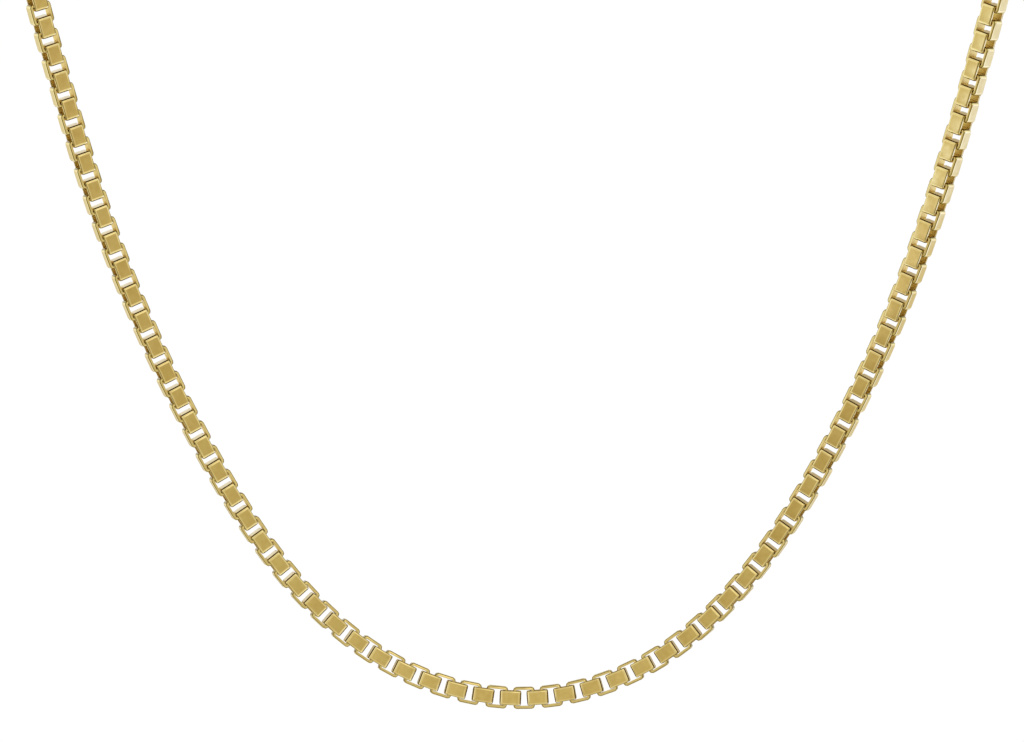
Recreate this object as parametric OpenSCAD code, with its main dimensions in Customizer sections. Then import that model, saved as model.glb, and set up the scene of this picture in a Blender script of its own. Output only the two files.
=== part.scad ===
// Box chain necklace in yellow gold, a closed loop about 18 inches long.
// Square rings bent from flat strip pass through each other, each turned a quarter
// turn from the last, so that the chain is a square cord of flat plates and windows.
// The front hangs in a U. The back runs over the shoulders and round the nape, where
// a lobster clasp and two plain rings close it.
// Millimetres. Front is -Y, up is +Z. The origin is the middle of the neck hollow at
// the height of the clasp.

/* [Chain links] */
// Outer width of a link, across the chain
link_width = 3.0; // [2.4:0.05:4.5]
// Outer length of a link, along the chain
link_length = 2.92; // [2.5:0.02:4.5]
// Thickness of the flat strip that a link is bent from
strip_thick = 0.38; // [0.3:0.01:0.6]
// Outside radius of the bend at a link's four corners
corner_radius = 0.46; // [0.3:0.02:0.7]
// Free space beside a link where it passes through its neighbour
side_play = 0.15; // [0.12:0.01:0.3]
// Free space along the chain between two links that hook into each other
end_play = 0.25; // [0.16:0.01:0.4]
// More of the same at the lowest point, where the chain is slack
slack_play = 0.065; // [0:0.005:0.12]

/* [Necklace] */
// Length of the closed loop with its clasp
loop_length = 457.2; // [430:0.1:480]
// Lean of the front drop, in degrees from upright
front_lean = 15; // [0:1:30]
// Distance up the drop at which the chain starts to bend back
bend_start = 98; // [80:1:120]
// Radius of the bend over the shoulders
bend_radius = 42; // [40:1:60]
// Direction of the chain behind the neck, in degrees from upright
nape_angle = 80; // [60:1:90]
// Turn of the plates toward the inside of the loop at its lowest point, in degrees
low_turn = 11.5; // [0:0.5:20]
// The same turn on the right shoulder
right_turn = 37.5; // [10:0.5:50]
// The same turn on the left shoulder
left_turn = 22.5; // [10:0.5:50]

/* [Clasp and rings] */
// Wire of the two plain rings
ring_wire = 0.7; // [0.5:0.05:1]
// Inside diameter of the two plain rings
ring_bore = 3.2; // [2.8:0.1:4]
// Middle of the clasp's eye to middle of its hook
clasp_reach = 10.2; // [8:0.1:14]
// Thickness of the hook's bar
hook_bar = 1.5; // [1:0.1:2]
// Clear opening inside the hook
hook_bore = 2.3; // [1.8:0.1:3.5]
// Thickness of the eye's bar
eye_bar = 0.9; // [0.7:0.05:1.2]
// Clear hole of the eye
eye_bore = 1.2; // [1.1:0.05:2]
// Thickness of the clasp's body beside the hook
body_large = 2.9; // [2:0.1:4]
// Thickness of the clasp's body beside the eye
body_small = 1.7; // [1.2:0.1:2.5]
// Height of the thumb lug above the body
lug_rise = 0.9; // [0.4:0.1:1.5]
// Free space between the clasp's parts and the rings
clasp_play = 0.15; // [0.12:0.01:0.3]

/* [Hidden] */
gold = [0.83, 0.67, 0.35];
$fn = 32;

// What passes through a link is narrower than the link's window by the side play.
strip_width = link_width - 2 * strip_thick - 2 * side_play;
pitch_taut = link_length - 2 * strip_thick - end_play;
// Bends of the strip: the outer corner in three steps, the inner one in one.
outer_steps = 3;
inner_steps = 1;
inner_radius = max(corner_radius - strip_thick, 0.05);
// Links over which the slack at the lowest point fades out.
slack_reach = 11;
// Where the middle of the first window link lies, right of the lowest point.
first_window = 0.43;

// Route of the chain on a flat sheet, seen from the front: right, then up, from the
// lowest point of the U up the right strand, over the nape and down the left strand.
route_points = [
  [0, 0], [18.1, 5.3], [31.9, 18.4], [41.8, 34.5], [49.8, 51.8], [56.1, 69.8],
  [61.3, 88.1], [65.1, 106.5], [63.0, 124.3], [53.3, 139.9], [38.0, 150.8],
  [19.4, 157.0], [-0.6, 158.9], [-20.6, 157.0], [-39.2, 150.6], [-54.4, 139.5],
  [-64.1, 123.7], [-66.3, 105.6], [-62.3, 87.1], [-57.1, 69.0], [-50.5, 51.1],
  [-42.3, 33.9], [-32.1, 17.8], [-18.1, 5.1]
];
route_count = len(route_points);
nape_knot = 12;
steps_per_span = 16;

// A smooth closed curve through those points: its handles are found by repeated
// averaging, then each span is one cubic.
function near(list, i) = list[(i + len(list)) % len(list)];
function settle(handles, rounds) = rounds == 0 ? handles :
  settle([for (i = [0:route_count - 1])
    (6 * route_points[i] - near(handles, i - 1) - near(handles, i + 1)) / 4], rounds - 1);
handles = settle(route_points, 24);
function span_point(i, t) = (
  pow(1 - t, 3) * near(handles, i - 1) +
  (3 * pow(t, 3) - 6 * pow(t, 2) + 4) * near(handles, i) +
  (-3 * pow(t, 3) + 3 * pow(t, 2) + 3 * t + 1) * near(handles, i + 1) +
  pow(t, 3) * near(handles, i + 2)) / 6;
function flat_point(q) = span_point(floor(q), q - floor(q));

// Length along the curve against its parameter, so that links go in at even steps.
samples = [for (k = [0:route_count * steps_per_span]) flat_point(k / steps_per_span)];
function running(list) = [for (i = 0, s = 0; i < len(list);
  s = s + (i + 1 < len(list) ? norm(list[i + 1] - list[i]) : 0), i = i + 1) s];
run = running(samples);
drawn_length = run[len(run) - 1];
route_scale = loop_length / drawn_length;
way_table = [for (i = [0:len(run) - 1]) [run[i] * route_scale, i / steps_per_span]];
function wrap(s) = s < 0 ? s + loop_length : s >= loop_length ? s - loop_length : s;
function sheet_point(s) = route_scale * flat_point(lookup(wrap(s), way_table));

// The sheet leans back, bends over the shoulders and runs on behind the neck.
bend_way = bend_radius * (nape_angle - front_lean) * PI / 180;
function sheet_angle(v) =
  front_lean + max(0, min(v - bend_start, bend_way)) / bend_radius * 180 / PI;
function sheet_back(v) = min(v, bend_start) * sin(front_lean) +
  bend_radius * (cos(front_lean) - cos(sheet_angle(v))) +
  max(0, v - bend_start - bend_way) * sin(nape_angle);
function sheet_up(v) = min(v, bend_start) * cos(front_lean) +
  bend_radius * (sin(sheet_angle(v)) - sin(front_lean)) +
  max(0, v - bend_start - bend_way) * cos(nape_angle);
nape_flat = route_scale * route_points[nape_knot];
seat = [nape_flat[0], sheet_back(nape_flat[1]) / 2, sheet_up(nape_flat[1])];
function on_route(s) = let (p = sheet_point(s))
  [p[0], sheet_back(p[1]), sheet_up(p[1])] - seat;

// Frame of the chain at a distance along it: forward, inward and facing.
function unit(v) = v / norm(v);
function forward(s) = unit(on_route(s + 0.5) - on_route(s - 0.5));
function sheet_facing(s) = let (a = sheet_angle(sheet_point(s)[1])) [0, -cos(a), sin(a)];
// How the turn goes from its low value (0) to that of the shoulder (1), by share of
// half the loop.
right_turns = [[0, 0], [0.05, 0], [0.12, 0.07], [0.19, 0.17], [0.26, 0.3], [0.33, 0.49],
  [0.4, 0.74], [0.47, 0.92], [0.53, 1], [1, 0.7]];
left_turns = [[0, 0], [0.1, 0.02], [0.26, 0.28], [0.4, 0.68], [0.48, 0.88], [0.53, 1],
  [1, 1.5]];
function turn(s) = let (h = loop_length / 2, r = s > h ? s - loop_length : s)
  low_turn + (r < 0 ? (left_turn - low_turn) * lookup(-r / h, left_turns)
    : (right_turn - low_turn) * lookup(r / h, right_turns));
function facing(s) = let (n = sheet_facing(s), a = turn(s))
  cos(a) * n + sin(a) * cross(n, forward(s));
module stand(at, x, facing) {
  y = unit(cross(facing, x));
  z = cross(x, y);
  multmatrix([
    [x[0], y[0], z[0], at[0]],
    [x[1], y[1], z[1], at[1]],
    [x[2], y[2], z[2], at[2]],
    [0, 0, 0, 1]]) children();
}

// Rings: how far a ring's middle stands off what it holds.
ring_mid = ring_bore / 2 + ring_wire / 2;
ring_to_link = link_length / 2 - strip_thick - side_play +
  sqrt(pow(ring_bore / 2, 2) - pow(strip_width / 2, 2));
eye_mid = (eye_bore + eye_bar) / 2;
ring_to_eye = ring_bore / 2 - eye_bar - clasp_play + eye_mid + eye_bar / 2;
hook_mid = (hook_bore + hook_bar) / 2;
hook_to_ring = hook_mid - hook_bar / 2 - clasp_play + ring_bore / 2;
closing_way = 2 * ring_to_link + ring_to_eye + clasp_reach + hook_to_ring;

// Number of links, even steps between two window links, and their places.
chain_way = loop_length - closing_way;
function natural(i) = pitch_taut * i - slack_play * i / (1 + abs(i) / slack_reach);
function steps_for(n) = natural(ceil(n / 4) * 2) - natural(-(n - ceil(n / 4) * 2));
step_count = 2 * ceil((chain_way / pitch_taut) / 2);
steps_right = 2 * ceil(step_count / 4);
steps_left = step_count - steps_right;
fit = chain_way / (natural(steps_right) - natural(-steps_left));
function link_way(i) = first_window + fit * natural(i);
right_end = link_way(steps_right);
eye_way = right_end + ring_to_link + ring_to_eye;
hook_way = eye_way + clasp_reach;

function round_box(l, w, r, n) = [
  for (c = [[1, 1, 0], [-1, 1, 90], [-1, -1, 180], [1, -1, 270]]) for (k = [0:n])
    [c[0] * (l / 2 - r) + r * cos(c[2] + 90 * k / n),
     c[1] * (w / 2 - r) + r * sin(c[2] + 90 * k / n)]];
outer_line = round_box(link_length, link_width, corner_radius, outer_steps);
inner_line = round_box(link_length - 2 * strip_thick, link_width - 2 * strip_thick,
  inner_radius, inner_steps);

// One link: a flat strip bent to a square ring, its hole along Z, the chain along X.
module link() {
  linear_extrude(height = strip_width, center = true)
    polygon(concat(outer_line, inner_line), [
      [for (i = [0:len(outer_line) - 1]) i],
      [for (i = [0:len(inner_line) - 1]) len(outer_line) + i]]);
}

// A plain round ring with its hole along Z.
module wire_ring(mid, wire) {
  rotate_extrude() translate([mid, 0]) circle(d = wire);
}

// The chain: window links at even steps, plate links at odd ones.
module box_links() {
  color(gold)
    for (i = [-steps_left:steps_right])
      stand(on_route(link_way(i)), forward(link_way(i)), facing(link_way(i)))
        rotate([abs(i) % 2 == 0 ? 0 : 90, 0, 0]) link();
}

// The ring that joins the right-hand end of the chain to the clasp's eye.
module clasp_ring() {
  s = right_end + ring_to_link;
  color(gold) stand(on_route(s), forward(s), facing(s))
    rotate([90, 0, 0]) wire_ring(ring_mid, ring_wire);
}

// A lobster clasp, closed and in one piece: eye, tapering body, hook and thumb lug.
module clasp() {
  from = on_route(eye_way);
  to = on_route(hook_way);
  along = norm(to - from);
  color(gold) stand(from, unit(to - from), facing((eye_way + hook_way) / 2)) {
    wire_ring(eye_mid, eye_bar);
    translate([along, 0, 0]) wire_ring(hook_mid, hook_bar);
    translate([eye_mid + body_small / 4, 0, 0]) rotate([0, 90, 0])
      cylinder(d1 = body_small, d2 = body_large,
        h = along - hook_mid - eye_mid - body_small / 4);
    translate([eye_mid + body_small / 4, 0, 0]) sphere(d = body_small);
    translate([along - hook_mid, 0, 0]) sphere(d = body_large);
    translate([along - hook_mid - body_large / 2, body_large / 2 + lug_rise / 2 - 0.4, 0])
      rotate([90, 0, 0]) cylinder(d = hook_bar, h = lug_rise + 0.8, center = true);
  }
}

// The ring at the left-hand end of the chain, which the hook holds.
module end_ring() {
  s = hook_way + hook_to_ring;
  color(gold) stand(on_route(s), forward(s), facing(s))
    rotate([90, 0, 0]) wire_ring(ring_mid, ring_wire);
}

box_links();
clasp_ring();
clasp();
end_ring();
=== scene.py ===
import math

import bmesh
import bpy
import numpy as np
from mathutils import Matrix, Vector


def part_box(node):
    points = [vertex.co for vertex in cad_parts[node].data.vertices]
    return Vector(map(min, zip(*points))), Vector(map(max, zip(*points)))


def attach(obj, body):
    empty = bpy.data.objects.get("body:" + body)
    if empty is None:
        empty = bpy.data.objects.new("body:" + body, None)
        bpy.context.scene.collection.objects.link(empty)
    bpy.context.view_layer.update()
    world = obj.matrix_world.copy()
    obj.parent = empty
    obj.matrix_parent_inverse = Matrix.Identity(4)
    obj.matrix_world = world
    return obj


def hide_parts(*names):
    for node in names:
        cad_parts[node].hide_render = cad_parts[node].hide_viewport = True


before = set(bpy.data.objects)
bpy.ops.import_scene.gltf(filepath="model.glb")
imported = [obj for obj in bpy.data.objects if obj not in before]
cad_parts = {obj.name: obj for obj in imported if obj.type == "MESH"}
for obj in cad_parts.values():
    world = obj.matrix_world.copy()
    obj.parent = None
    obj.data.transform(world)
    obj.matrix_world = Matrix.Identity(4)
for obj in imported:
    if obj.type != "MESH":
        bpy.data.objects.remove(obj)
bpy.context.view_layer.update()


# The chain. Each link is a flat strip of 14 carat yellow gold, bent to a square ring,
# soldered and tumble-polished. Each hooks through the next and stands a quarter turn
# from it, so that flat plates and open windows take turns along the front.
def linear(code):
    """An sRGB hex colour as linear red, green, blue and alpha."""
    parts = [int(code[k:k + 2], 16) / 255 for k in (1, 3, 5)]
    return [p / 12.92 if p <= 0.04045 else ((p + 0.055) / 1.055) ** 2.4 for p in parts] + [1]


def put(tree, kind, feeds=None, **settings):
    """One node in a tree, with its settings and what feeds its sockets: a value, a socket
    or another node, which gives its first output."""
    made = tree.nodes.new(kind)
    for name, value in settings.items():
        setattr(made, name, value)
    for name, value in (feeds or {}).items():
        socket = made.inputs[name] if isinstance(name, int) else next(
            s for s in made.inputs if s.name == name and s.enabled)
        if isinstance(value, bpy.types.Node):
            value = next(s for s in value.outputs if s.enabled)
        if isinstance(value, bpy.types.NodeSocket):
            tree.links.new(value, socket)
        else:
            socket.default_value = value
    return made


def hang(name, mesh):
    """A new object in the scene, with its place in its mesh."""
    made = bpy.data.objects.new(name, mesh)
    bpy.context.scene.collection.objects.link(made)
    return made


link_length = 0.00292
link_width = 0.0030
strip_width = 0.00194
strip_thick = 0.00041
bend_radius = 0.00046
rim_width = 0.00026
bend_steps, rim_steps = 2, 2       # steps in the round of each bend and of each rim
loose_turn = math.radians(0.8)     # how far a link may stand off its true turn
chance_seed = 7
same_spot = 1e-6                   # metres within which two corners are one

# Each link in the frame gives its middle, and the way its hole runs.
shell = bmesh.new()
shell.from_mesh(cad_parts["box_links"].data)
bmesh.ops.remove_doubles(shell, verts=shell.verts, dist=same_spot)
seen = set()
middles, holes = [], []
for start in shell.verts:
    if start in seen:
        continue
    link_spots, to_visit = [], [start]
    seen.add(start)
    while to_visit:
        here = to_visit.pop()
        link_spots.append(here.co[:])
        for edge in here.link_edges:
            there = edge.other_vert(here)
            if there not in seen:
                seen.add(there)
                to_visit.append(there)
    spots = np.array(link_spots)
    middles.append(spots.mean(0))
    holes.append(np.linalg.eigh(np.cov((spots - spots.mean(0)).T))[1][:, 0])
shell.free()
middles, holes = np.array(middles), np.array(holes)

# They are put in order along the chain, from the link that the clasp's ring holds.
near_clasp = np.array(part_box("clasp_ring")).mean(0)
order = [int(np.linalg.norm(middles - near_clasp, axis=1).argmin())]
left = set(range(len(middles))) - set(order)
while left:
    order.append(min(left, key=lambda k: np.linalg.norm(middles[k] - middles[order[-1]])))
    left.remove(order[-1])
middles, holes = middles[order], holes[order]
chain_ways = np.gradient(middles, axis=0)
chain_ways /= np.linalg.norm(chain_ways, axis=1)[:, None]
# Each hole is squared to the chain, and the places go into the mesh as single points.
holes -= (holes * chain_ways).sum(1)[:, None] * chain_ways
holes /= np.linalg.norm(holes, axis=1)[:, None]
row = bpy.data.meshes.new("box_chain")
row.from_pydata([tuple(p) for p in middles], [], [])
for name, values in (("hole_way", holes), ("chain_way", chain_ways)):
    row.attributes.new(name, "FLOAT_VECTOR", "POINT").data.foreach_set("vector", values.ravel())
chain = hang("box_chain", row)

# Tumble-polished 14 carat gold: a warm, slightly soft mirror, clouded by rubs under a
# millimetre wide. The rims of each plate carry a pale painted highlight, and so do the
# sheared edges. The end bars, the bends and the steep turn beyond each rim carry painted
# shade. The polish hardly reaches the inner faces.
rub_size = 0.00077
polished, rubbed, unpolished = 0.13, 0.19, 0.42      # roughness
# Painted shade on the end bars, the bends and the steep turns; a painted highlight on the rims;
# the plates keep their own colour.
outer_colours_with_painted_light = ((0.0, "#D2B96C"),      # the end bars
                 (0.2, "#8E7E3B"),      # the bends, and the steep turn beyond each rim
                 (0.88, "#FFF0B6"),     # the rims
                 (0.995, "#E6D28E"))    # the flat plates
links_gold = bpy.data.materials.new("tumble_polished_14_carat_gold")
links_gold.use_nodes = True
tree = links_gold.node_tree
surface = tree.nodes["Principled BSDF"]
surface.inputs["Metallic"].default_value = 1.0
inner = put(tree, "ShaderNodeAttribute", attribute_name="inner_face").outputs["Fac"]
sheared = put(tree, "ShaderNodeAttribute", attribute_name="sheared_edge").outputs["Fac"]
square_on = put(tree, "ShaderNodeAttribute", attribute_name="square_on").outputs["Fac"]
tone = put(tree, "ShaderNodeAttribute", attribute_name="link_tone").outputs["Fac"]
# An outer face takes its colour by how squarely it faces out, which places the painted shade and
# highlights, and each link its own tone.
colour = put(tree, "ShaderNodeValToRGB", {"Fac": square_on})
colour.color_ramp.interpolation = "CONSTANT"
stops = colour.color_ramp.elements
stops.remove(stops[1])
stops[0].color = linear(outer_colours_with_painted_light[0][1])
for begins, code in outer_colours_with_painted_light[1:]:
    stops.new(begins).color = linear(code)
colour = put(tree, "ShaderNodeMix", {"Factor": tone, "A": colour, "B": linear("#F6F2EA")},
             data_type="RGBA", blend_type="MULTIPLY")
colour = put(tree, "ShaderNodeMix", {"Factor": inner, "A": colour.outputs["Result"],
             "B": linear("#FBE28E")}, data_type="RGBA")
# The sheared edges are painted paler, as a painted highlight.
colour = put(tree, "ShaderNodeMix", {"Factor": sheared, "A": colour.outputs["Result"],
             "B": linear("#F3E3A6")}, data_type="RGBA")
# The noise keeps near its middle value, so it is stretched to run from 0 to 1.
spot = put(tree, "ShaderNodeTexCoord").outputs["Object"]
rubs = put(tree, "ShaderNodeTexNoise", {"Vector": spot, "Scale": 1 / rub_size,
           "Detail": 3.0})
rubs = put(tree, "ShaderNodeMapRange", {"Value": rubs.outputs["Fac"], "From Min": 0.3,
           "From Max": 0.7})
colour = put(tree, "ShaderNodeMix", {"Factor": rubs, "A": colour.outputs["Result"],
             "B": linear("#F4F0E6")}, data_type="RGBA", blend_type="MULTIPLY")
tree.links.new(colour.outputs["Result"], surface.inputs["Base Color"])
polish = put(tree, "ShaderNodeMapRange", {"Value": rubs, "To Min": polished,
             "To Max": rubbed})
dull = put(tree, "ShaderNodeMapRange", {"Value": inner, "To Min": polish,
           "To Max": unpolished})
tree.links.new(dull.outputs[0], surface.inputs["Roughness"])

sizes = {"Link length": link_length, "Link width": link_width, "Strip width": strip_width,
         "Strip thickness": strip_thick, "Bend radius": bend_radius, "Rim width": rim_width,
         "Loose turn": loose_turn}
weave = bpy.data.node_groups.new("links_of_bent_strip", "GeometryNodeTree")
plug = weave.interface.new_socket
plug("Row", in_out="INPUT", socket_type="NodeSocketGeometry")
idents = {name: plug(name, in_out="INPUT", socket_type="NodeSocketFloat").identifier
          for name in sizes}
idents["Seed"] = plug("Seed", in_out="INPUT", socket_type="NodeSocketInt").identifier
idents["Finish"] = plug("Finish", in_out="INPUT", socket_type="NodeSocketMaterial").identifier
plug("Links", in_out="OUTPUT", socket_type="NodeSocketGeometry")
given = put(weave, "NodeGroupInput").outputs
# The middle of the strip's thickness runs round a square with bent corners.
middle_length = put(weave, "ShaderNodeMath", {0: given["Link length"],
                    1: given["Strip thickness"]}, operation="SUBTRACT")
middle_width = put(weave, "ShaderNodeMath", {0: given["Link width"],
                   1: given["Strip thickness"]}, operation="SUBTRACT")
middle_bend = put(weave, "ShaderNodeMath", {0: given["Strip thickness"], 1: -0.5,
                  2: given["Bend radius"]}, operation="MULTIPLY_ADD")
ring = put(weave, "GeometryNodeCurvePrimitiveQuadrilateral",
           {"Width": middle_length, "Height": middle_width})
ring = put(weave, "GeometryNodeFilletCurve", {"Curve": ring, "Radius": middle_bend},
           mode="POLY")
ring.inputs["Count"].default_value = bend_steps
# The strip's outer edges are rolled off twice as far across the plate as into its
# thickness, so they are rounded on a strip of double thickness, which is then flattened.
rim_stretch = 2.0
thickened = put(weave, "ShaderNodeMath", {0: given["Strip thickness"], 1: rim_stretch},
                operation="MULTIPLY")
section = put(weave, "GeometryNodeCurvePrimitiveQuadrilateral",
              {"Width": thickened, "Height": given["Strip width"]})
side = put(weave, "ShaderNodeSeparateXYZ", {"Vector": put(weave, "GeometryNodeInputPosition")})
side = put(weave, "ShaderNodeMath", {0: side.outputs["X"], 1: 0.0}, operation="GREATER_THAN")
rolled = put(weave, "ShaderNodeMath", {0: side, 1: given["Rim width"]}, operation="MULTIPLY")
section = put(weave, "GeometryNodeFilletCurve", {"Curve": section, "Radius": rolled}, mode="POLY")
section.inputs["Count"].default_value = rim_steps
section = put(weave, "GeometryNodeTransform", {"Geometry": section,
              "Scale": (1 / rim_stretch, 1.0, 1.0)})
bent = put(weave, "GeometryNodeCurveToMesh", {"Curve": ring, "Profile Curve": section})
bent = put(weave, "GeometryNodeMergeByDistance", {"Geometry": bent, "Distance": same_spot})
# Only the sharp inner corners stay sharp to the light.
sharp_corner = math.radians(60)
bent = put(weave, "GeometryNodeSetShadeSmooth", {"Geometry": bent, "Shade Smooth": True})
corner = put(weave, "FunctionNodeCompare", {"A": put(weave, "GeometryNodeInputMeshEdgeAngle"),
             "B": sharp_corner}, data_type="FLOAT", operation="GREATER_THAN")
bent = put(weave, "GeometryNodeSetShadeSmooth", {"Geometry": bent, "Selection": corner,
           "Shade Smooth": False}, domain="EDGE")
# Each face is marked for the gold: as an inner face or not, as the strip's sheared edge
# or not, and by how squarely it faces out.
edge_on = 0.9
outward = put(weave, "ShaderNodeVectorMath", {0: put(weave, "GeometryNodeInputPosition"),
              1: put(weave, "GeometryNodeInputNormal")}, operation="DOT_PRODUCT")
inside = put(weave, "FunctionNodeCompare", {"A": outward, "B": 0.0}, data_type="FLOAT",
             operation="LESS_THAN")
bent = put(weave, "GeometryNodeStoreNamedAttribute", {"Geometry": bent, "Name": "inner_face",
           "Value": inside}, data_type="FLOAT", domain="FACE")
across = put(weave, "ShaderNodeVectorMath", {0: put(weave, "GeometryNodeInputNormal"),
             1: (0.0, 0.0, 1.0)}, operation="DOT_PRODUCT")
across = put(weave, "ShaderNodeMath", {0: across.outputs["Value"]}, operation="ABSOLUTE")
across = put(weave, "FunctionNodeCompare", {"A": across, "B": edge_on}, data_type="FLOAT",
             operation="GREATER_THAN")
bent = put(weave, "GeometryNodeStoreNamedAttribute", {"Geometry": bent, "Name": "sheared_edge",
           "Value": across}, data_type="FLOAT", domain="FACE")
square_on = put(weave, "ShaderNodeSeparateXYZ", {"Vector": put(weave, "GeometryNodeInputNormal")})
square_on = put(weave, "ShaderNodeMath", {0: square_on.outputs["Y"]}, operation="ABSOLUTE")
bent = put(weave, "GeometryNodeStoreNamedAttribute", {"Geometry": bent, "Name": "square_on",
           "Value": square_on}, data_type="FLOAT", domain="FACE")
# A link goes on each place, with its hole the right way, a chance turn and a chance tone.
hole_way = put(weave, "GeometryNodeInputNamedAttribute", {"Name": "hole_way"},
               data_type="FLOAT_VECTOR")
chain_way = put(weave, "GeometryNodeInputNamedAttribute", {"Name": "chain_way"},
                data_type="FLOAT_VECTOR")
facing = put(weave, "FunctionNodeAxesToRotation", {"Primary Axis": hole_way,
             "Secondary Axis": chain_way}, primary_axis="Z", secondary_axis="X")
hung = put(weave, "GeometryNodeInstanceOnPoints", {"Points": given["Row"], "Instance": bent,
           "Rotation": facing})
share = put(weave, "FunctionNodeRandomValue", {"Min": -1.0, "Max": 1.0, "Seed": given["Seed"]},
            data_type="FLOAT")
turned = put(weave, "ShaderNodeMath", {0: share, 1: given["Loose turn"]}, operation="MULTIPLY")
turned = put(weave, "FunctionNodeAxisAngleToRotation", {"Axis": (1.0, 0.0, 0.0),
             "Angle": turned})
hung = put(weave, "GeometryNodeRotateInstances", {"Instances": hung, "Rotation": turned,
           "Local Space": True})
tones = put(weave, "FunctionNodeRandomValue", {"Min": 0.0, "Max": 1.0, "Seed": given["Seed"]},
            data_type="FLOAT")
hung = put(weave, "GeometryNodeStoreNamedAttribute", {"Geometry": hung, "Name": "link_tone",
           "Value": tones}, data_type="FLOAT", domain="INSTANCE")
whole = put(weave, "GeometryNodeRealizeInstances", {"Geometry": hung})
whole = put(weave, "GeometryNodeSetMaterial", {"Geometry": whole, "Material": given["Finish"]})
put(weave, "NodeGroupOutput", {0: whole})
maker = chain.modifiers.new("links", "NODES")
maker.node_group = weave
for name, value in sizes.items():
    maker[idents[name]] = value
maker[idents["Seed"]] = chance_seed
maker[idents["Finish"]] = links_gold
# The largest faces rule the shading, so that a plate stays flat to its rims.
flatten = chain.modifiers.new("flat_plates", "WEIGHTED_NORMAL")
flatten.weight = 100
flatten.keep_sharp = True
chain.data = bpy.data.meshes.new_from_object(
    chain.evaluated_get(bpy.context.evaluated_depsgraph_get()))
chain.modifiers.clear()
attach(chain, "root")
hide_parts("box_links")


# The clasp. A lobster clasp of the same gold, cast with its eye, filed and polished. The
# lever turns on a riveted pin and closes the hook, and its ribbed lug is for the thumb.
# Where the middles of its eye and its hook lie, and the way its flat side faces.
eye_at, hook_at = (0.0027838, 0.0358036, -0.0000063), (-0.0074111, 0.0356124, -0.0000400)
clasp_facing = (0.0086, -0.6141, 0.7892)
# The sizes below are in millimetres. Each row gives a place on the middle line of a bar,
# ahead of the eye and towards the thumb's side, then half the bar's width and half its
# depth. The hook's rows give degrees round its middle in place of the first two.
body_rows = ((1.3, 0, 0.4, 0.45), (1.7, 0, 0.7, 0.72), (2.7, 0, 0.9, 0.88), (4.4, 0, 1.06, 1.0),
             (6.1, 0, 1.22, 1.1), (7.3, -0.12, 1.3, 1.14), (8.1, -0.55, 1.08, 1.04))
hook_rows = ((218, 0.88, 0.9), (240, 0.78, 0.8), (265, 0.74, 0.75), (300, 0.73, 0.74),
             (335, 0.73, 0.74), (10, 0.72, 0.74), (45, 0.7, 0.72), (75, 0.66, 0.68),
             (92, 0.58, 0.6), (96, 0.5, 0.5), (97, 0.3, 0.3))
lever_rows = ((7.0, 0.42, 0.3, 0.3), (7.15, 0.46, 0.5, 0.6), (7.8, 0.6, 0.62, 0.7),
              (8.44, 0.92, 0.66, 0.7), (8.88, 1.37, 0.66, 0.69), (9.3, 1.68, 0.63, 0.66),
              (9.66, 1.84, 0.54, 0.58), (9.74, 1.86, 0.3, 0.3))
lug_rows = ((7.25, 0.5, 0.5, 0.55), (6.98, 1.1, 0.6, 0.62), (6.9, 1.4, 0.56, 0.62),
            (6.87, 1.55, 0.63, 0.65), (6.86, 1.7, 0.57, 0.63), (6.85, 1.85, 0.66, 0.67),
            (6.85, 2.0, 0.6, 0.64), (6.85, 2.14, 0.68, 0.69), (6.85, 2.27, 0.52, 0.55),
            (6.85, 2.32, 0.25, 0.25))
hook_mid = 1.9                     # from the hook's middle to the middle of its bar
eye_mid, eye_wire = 1.05, 0.45     # the same for the eye, and half its thickness
pin_at = (7.42, 0.3, 0.0)
pin_rows = ((2.32, 0.36), (2.44, 0.26))              # length and half width, pin and rivet
bar_steps, lug_steps = 4, 3        # stations drawn from each row to the next


def smooth_rows(rows, steps):
    """Rows of numbers, with more put in between them on a smooth curve."""
    rows = np.array(rows, float)
    rows = np.vstack([2 * rows[0] - rows[1], rows, 2 * rows[-1] - rows[-2]])
    between = [0.5 * (2 * q + (r - p) * t + (2 * p - 5 * q + 4 * r - s) * t ** 2
                      + (3 * q - p - 3 * r + s) * t ** 3)
               for p, q, r, s in zip(rows, rows[1:], rows[2:], rows[3:])
               for t in np.arange(steps) / steps]
    return np.array(between + [rows[-2]])


def stand_at(spot, ahead, facing):
    """The move that takes millimetres ahead, across and out of a part to metres in place."""
    ahead, facing = Vector(ahead).normalized(), Vector(facing)
    across = facing.cross(ahead).normalized()
    rows = zip(ahead * 0.001, across * 0.001, ahead.cross(across) * 0.001, spot)
    return Matrix([*rows, (0, 0, 0, 1)])


def add_bar(shape, rows, stand, looped=False, sides=24):
    """A round bar along its rows, with two closed ends, or with none if it is a loop."""
    spots = rows[:, :2]
    ways = np.roll(spots, -1, 0) - np.roll(spots, 1, 0) if looped else np.gradient(spots, axis=0)
    ways /= np.linalg.norm(ways, axis=1)[:, None]
    rims = [[shape.verts.new(stand @ Vector((x - ahead_y * wide * math.cos(turn),
                                             y + ahead_x * wide * math.cos(turn),
                                             deep * math.sin(turn))))
             for turn in np.arange(sides) * math.tau / sides]
            for (x, y, wide, deep), (ahead_x, ahead_y) in zip(rows, ways)]
    for low, high in zip(rims, rims[1:] + rims[:1] if looped else rims[1:]):
        for k in range(sides):
            shape.faces.new((low[k - 1], low[k], high[k], high[k - 1])).smooth = True
    if not looped:
        shape.faces.new(rims[0])
        shape.faces.new(rims[-1])


def finish_shape(shape, name, material):
    """A new object from a shape with its faces outward."""
    bmesh.ops.recalc_face_normals(shape, faces=shape.faces)
    mesh = bpy.data.meshes.new(name)
    shape.to_mesh(mesh)
    shape.free()
    mesh.materials.append(material)
    return hang(name, mesh)


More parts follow.
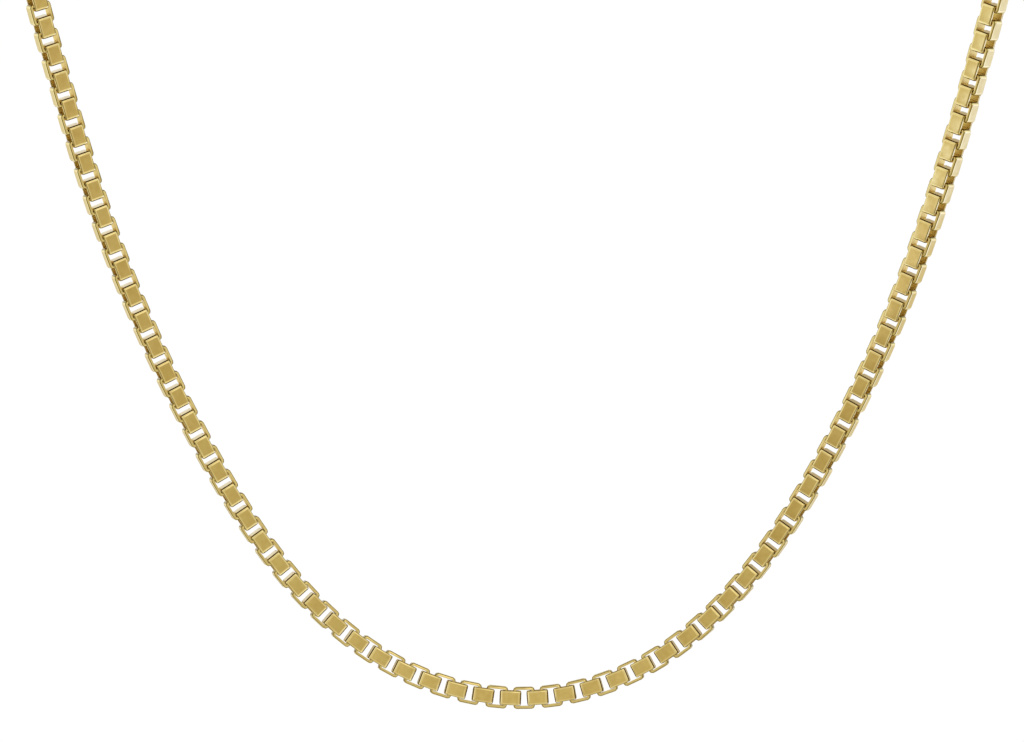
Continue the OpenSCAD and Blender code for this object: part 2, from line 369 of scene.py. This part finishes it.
# Cast and hand-polished 14 carat gold: a mirror with soft waves left by the file, and a
# gloss that is cloudy where the buff ran dry.
wave_size, cloud_size, wave_depth = 0.0014, 0.0004, 0.00006
glossy, cloudy = 0.1, 0.3          # roughness
findings_gold = bpy.data.materials.new("cast_and_hand_polished_14_carat_gold")
findings_gold.use_nodes = True
tree = findings_gold.node_tree
surface = tree.nodes["Principled BSDF"]
surface.inputs["Metallic"].default_value = 1.0
spot = put(tree, "ShaderNodeTexCoord").outputs["Object"]
waves = put(tree, "ShaderNodeTexNoise", {"Vector": spot, "Scale": 1 / wave_size,
            "Detail": 2.0})
clouds = put(tree, "ShaderNodeTexNoise", {"Vector": spot, "Scale": 1 / cloud_size,
             "Detail": 3.0})
colour = put(tree, "ShaderNodeMix", {"Factor": waves.outputs["Fac"], "A": linear("#E2CC86"),
             "B": linear("#F0DEA4")}, data_type="RGBA")
tree.links.new(colour.outputs["Result"], surface.inputs["Base Color"])
dull = put(tree, "ShaderNodeMapRange", {"Value": clouds.outputs["Fac"], "To Min": glossy,
           "To Max": cloudy})
tree.links.new(dull.outputs[0], surface.inputs["Roughness"])
ripple = put(tree, "ShaderNodeBump", {"Height": waves.outputs["Fac"], "Strength": 0.35,
             "Distance": wave_depth})
tree.links.new(ripple.outputs[0], surface.inputs["Normal"])

clasp_stand = stand_at(eye_at, Vector(hook_at) - Vector(eye_at), clasp_facing)
clasp_reach = (Vector(hook_at) - Vector(eye_at)).length * 1000
bent_rows = [(clasp_reach + hook_mid * math.cos(math.radians(turn)),
              hook_mid * math.sin(math.radians(turn)), wide, deep)
             for turn, wide, deep in hook_rows]
casting = bmesh.new()
add_bar(casting, smooth_rows((*body_rows, *bent_rows), bar_steps), clasp_stand)
add_bar(casting, smooth_rows(lever_rows, bar_steps), clasp_stand)
add_bar(casting, smooth_rows(lug_rows, lug_steps), clasp_stand)
eye_turns = np.arange(40) * math.tau / 40
add_bar(casting, np.array([(eye_mid * math.cos(t), eye_mid * math.sin(t), eye_wire, eye_wire)
                           for t in eye_turns]), clasp_stand, looped=True, sides=16)
for length, wide in pin_rows:
    bmesh.ops.create_cone(casting, cap_ends=True, segments=24, radius1=wide, radius2=wide,
                          depth=length, matrix=clasp_stand @ Matrix.Translation(pin_at))
clasp = finish_shape(casting, "lobster_clasp", findings_gold)
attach(clasp, "root")
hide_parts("clasp")


# The two jump rings. Each is a turn of round gold wire, closed through the chain's last
# link and soldered. The seam is filed down, and shows as a shallow dip.
ring_mid, ring_wire = 1.95, 0.7    # millimetres, to the middle of the wire, and its thickness
seam_dip = 0.95                    # the wire's thickness at the seam, as a share
seam_turns = (-0.06, -0.03, 0, 0.03, 0.06)           # radians, close together at the seam
even_from = 0.12                   # radians from the seam to the first even step
seam_side = (0.2, 0.5, 0.8)        # the ring's seam lies square to this
turns = np.sort(np.append(np.linspace(even_from, math.tau - even_from, 70), seam_turns))
for node, name in (("clasp_ring", "ring_at_the_eye"), ("end_ring", "ring_in_the_hook")):
    spots = np.array([v.co[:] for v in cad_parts[node].data.vertices])
    middle = (spots.min(0) + spots.max(0)) / 2
    hole = np.linalg.eigh(np.cov((spots - middle).T))[1][:, 0]
    ring_stand = stand_at(middle, Vector(hole).cross(seam_side), hole)
    wire = bmesh.new()
    add_bar(wire, np.array([(ring_mid * math.cos(t), ring_mid * math.sin(t), half, half)
                            for t in turns
                            for half in [ring_wire / 2 * (seam_dip if t == 0 else 1)]]),
            ring_stand, looped=True, sides=20)
    ring = finish_shape(wire, name, findings_gold)
    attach(ring, "root")
    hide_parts(node)


# The room. Matt white seamless paper lies well below the necklace and curves up all round
# it. The gold shows the cloth, cards and lamp hung about it, not the paper.
paper_level = -0.30
paper_profile = ((3.0, 0.0), (3.9, 0.12), (4.6, 0.5), (4.95, 1.1), (5.0, 4.5))  # out and up
paper_sides = 64
# Evenly lit matt paper: plain white, with no gloss and no shadow on it.
paper = bpy.data.materials.new("matt_white_paper")
paper.use_nodes = True
surface = paper.node_tree.nodes["Principled BSDF"]
surface.inputs["Base Color"].default_value = linear("#202020")
surface.inputs["Roughness"].default_value = 0.9
surface.inputs["Specular IOR Level"].default_value = 0.0
surface.inputs["Emission Color"].default_value = linear("#FFFFFF")
surface.inputs["Emission Strength"].default_value = 1.0
paper.cycles.emission_sampling = "NONE"
roll = bmesh.new()
rims = [[roll.verts.new((out * math.cos(k * math.tau / paper_sides),
                         out * math.sin(k * math.tau / paper_sides), paper_level + up))
         for k in range(paper_sides)] for out, up in paper_profile]
roll.faces.new(rims[0])
for low, high in zip(rims, rims[1:]):
    for k in range(paper_sides):
        after = (k + 1) % paper_sides
        roll.faces.new((high[k], high[after], low[after], low[k])).smooth = True
sheet = bpy.data.meshes.new("floor")
roll.to_mesh(sheet)
roll.free()
sheet.materials.append(paper)
floor = hang("floor", sheet)
floor.visible_glossy = False
floor.visible_shadow = False


def way(round_from_front, up):
    """The direction that lies so many degrees round to the right from the front, and up."""
    turn, rise = math.radians(round_from_front), math.radians(up)
    return (math.sin(turn) * math.cos(rise), -math.cos(turn) * math.cos(rise), math.sin(rise))


# A tent of white cloth stands round the necklace, a little darker near the lens and far
# behind, as its colours by degrees off the lens say. Cards hung in it give each stretch
# of the chain its own shade.
lens_rise = 26.5                   # degrees up from level to the lens
tent_light = 1.78                  # the world's strength
tent_cloth = ((0, "#B1AA97"), (15, "#A8A28E"), (30, "#A19983"), (42, "#ABA390"),
              (55, "#B8B4A3"), (70, "#BDBAAD"), (90, "#C3C3BD"), (112, "#C7C8C4"),
              (140, "#C2C2BA"), (152, "#BDBAAD"), (164, "#B1AA97"), (180, "#847754"))
tent = bpy.data.worlds.new("white_tent")
tent.use_nodes = True
bpy.context.scene.world = tent
tree = tent.node_tree
tree.nodes.clear()
outlook = put(tree, "ShaderNodeTexCoord").outputs["Generated"]
off_lens = put(tree, "ShaderNodeVectorMath", {0: outlook, 1: way(0, lens_rise)},
               operation="DOT_PRODUCT")
spread = put(tree, "ShaderNodeMapRange", {"Value": off_lens.outputs["Value"], "From Min": -1.0,
             "From Max": 1.0})
cloth = put(tree, "ShaderNodeValToRGB", {"Fac": spread})
stops = cloth.color_ramp.elements
for degrees, code in tent_cloth[1:-1]:
    stops.new((math.cos(math.radians(degrees)) + 1) / 2).color = linear(code)
stops[0].color, stops[-1].color = linear(tent_cloth[-1][1]), linear(tent_cloth[0][1])
light = cloth.outputs["Color"]
# Each card lies so many degrees round and up, is full to the third number of degrees from
# its middle and has faded out at the fourth.
cards = ((180, 38, 24, 44, "#9F967F"),       # the open gap above the back of the tent
         (-44, -8, 15, 28, "#92886C"),       # a grey card low on the left
         (-63.5, 11, 4, 6.2, "#D2D9F0"),     # a small white one on the left
         (-77, 6, 3.5, 7, "#A8A598"),        # a small grey one beyond it
         (-54, 13.5, 4, 9, "#C1BDB6"),       # and a paler one before it
         (98, -26, 12, 36, "#CDD5FD"),       # daylight from the right, cool and pale
         (140, -38, 8, 22, "#B7B3A5"),       # a pale grey card beyond it
         (170, -14, 8, 18, "#A29A85"),       # a small grey card behind, to the right
         (-172, -8, 5, 14, "#CACBC9"),       # a bright card beside it
         (165, -64, 10, 24, "#897D5B"))      # and a dark one under them
for turn, rise, full, faded, code in cards:
    near = put(tree, "ShaderNodeVectorMath", {0: outlook, 1: way(turn, rise)},
               operation="DOT_PRODUCT")
    share = put(tree, "ShaderNodeMapRange", {"Value": near.outputs["Value"],
                "From Min": math.cos(math.radians(faded)),
                "From Max": math.cos(math.radians(full))}, interpolation_type="SMOOTHSTEP")
    light = put(tree, "ShaderNodeMix", {"Factor": share, "A": light, "B": linear(code)},
                data_type="RGBA").outputs["Result"]
# The tent's seam lets a level band of the dim room in at the right. Its lower and upper
# edges and its end each fade in from the first value to the second.
right_way = put(tree, "ShaderNodeVectorMath", {0: outlook, 1: way(80, -3)},
                operation="DOT_PRODUCT").outputs["Value"]
height = put(tree, "ShaderNodeSeparateXYZ", {"Vector": outlook}).outputs["Z"]
seam = 1.0
for part_way, begins, full in ((height, -0.38, -0.27), (height, 0.30, 0.16),
                               (right_way, 0.84, 0.93)):
    share = put(tree, "ShaderNodeMapRange", {"Value": part_way, "From Min": begins,
                "From Max": full}, interpolation_type="SMOOTHSTEP")
    seam = put(tree, "ShaderNodeMath", {0: seam, 1: share}, operation="MULTIPLY")
light = put(tree, "ShaderNodeMix", {"Factor": seam, "A": light, "B": linear("#897D5B")},
            data_type="RGBA").outputs["Result"]
glow = put(tree, "ShaderNodeBackground", {"Color": light, "Strength": tent_light})
put(tree, "ShaderNodeOutputWorld", {"Surface": glow})
tent.cycles.sampling_method = "NONE"

# A round softbox hangs over the lens, a little to the right.
lamp = bpy.data.lights.new("overhead_softbox", "SUN")
lamp.energy = 0.09
lamp.color = linear("#FFF6E0")[:3]
lamp.angle = math.radians(28)
overhead = hang("overhead_softbox", lamp)
overhead.rotation_euler = Vector(way(22, 54)).to_track_quat("Z", "Y").to_euler()


# The view. A long lens looks down on the hanging front, which leans back by 15 degrees,
# so that both strands leave the picture at its top and the hidden stretch stays above.
view_distance = 1.2
picture_scale, picture_columns = 0.0001345, 1024     # metres in a column of the picture
front_lean = math.radians(15)
drop_foot = Vector((0.000440, -0.035839, -0.127451))
picture_aside, picture_up = -0.00104, 0.04519        # from the foot to the picture's middle
aim = drop_foot + Vector((picture_aside, picture_up * math.sin(front_lean),
                          picture_up * math.cos(front_lean)))
lens = bpy.data.cameras.new("long_lens")
lens.sensor_width = 36
lens.lens = view_distance / picture_scale * lens.sensor_width / picture_columns
lens.clip_start, lens.clip_end = 0.05, 30
camera = hang("camera", lens)
camera.location = aim + view_distance * Vector(way(0, lens_rise))
camera.rotation_euler = (math.pi / 2 - math.radians(lens_rise), 0, 0)
bpy.context.scene.camera = camera
bpy.context.scene.view_settings.view_transform = "Standard"
